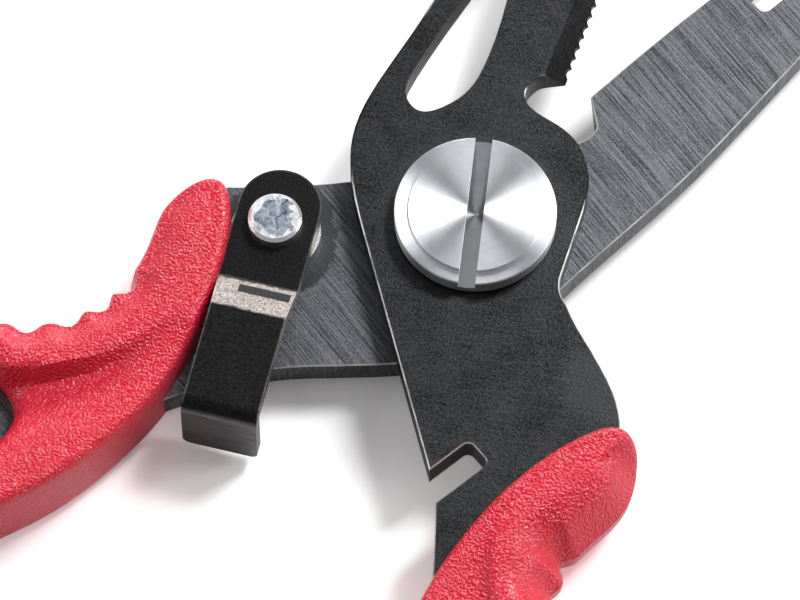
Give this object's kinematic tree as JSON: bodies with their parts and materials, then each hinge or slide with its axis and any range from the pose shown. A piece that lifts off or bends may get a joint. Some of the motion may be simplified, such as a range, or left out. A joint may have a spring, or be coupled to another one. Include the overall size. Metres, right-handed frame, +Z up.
{
  "type": "angler's shears",
  "caption": "Multi-purpose angler's shears lying open: saw-toothed and plain blades on a slotted pivot, cranked lock latch, moulded finger-loop handles.",
  "frame": {"origin": "on the pivot axis, on the surface that the shears lie on, at the middle of the pivot nut's underside", "axes": "+Z up along the pivot axis; the upper blade points about 16 degrees from +Y towards +X, the lower blade about 49 degrees"},
  "size_m": [0.1396, 0.158, 0.0096],
  "materials": {
    "blade_coat": "satin",
    "blade_steel": "brushed",
    "pivot_steel": "turned",
    "washer_steel": "satin",
    "latch_coat": "satin",
    "rivet_zinc": "bright",
    "handle_red": "pebbled",
    "screw_steel": "plain"
  },
  "bodies": {
    "lower_half": {"blade_b": "blade_steel", "handle_b_upper_shell": "handle_red", "handle_b_lower_shell": "handle_red", "handle_b_screws": "screw_steel", "pivot_screw": "pivot_steel", "pivot_friction_washer": "washer_steel", "pivot_spring_washer": "washer_steel", "pivot_nut": "pivot_steel", "latch_rivet": "rivet_zinc", "latch_spacer": "washer_steel", "latch_wave_washer": "washer_steel"},
    "upper_half": {"blade_a": "blade_coat", "handle_a_upper_shell": "handle_red", "handle_a_lower_shell": "handle_red", "handle_a_screws": "screw_steel"},
    "latch": {"latch_lever": "latch_coat"}
  },
  "joints": [
    {"name": "blade_pivot", "type": "hinge", "parent": "lower_half", "child": "upper_half", "pos_m": [0, 0, 0.0047], "axis": [0, 0, 1], "range_deg": [-30.5, 25]},
    {"name": "latch_swing", "type": "hinge", "parent": "lower_half", "child": "latch", "pos_m": [-0.01847, -0.00058, 0.005], "axis": [0, 0, 1], "range_deg": [0, 22.8]}
  ]
}
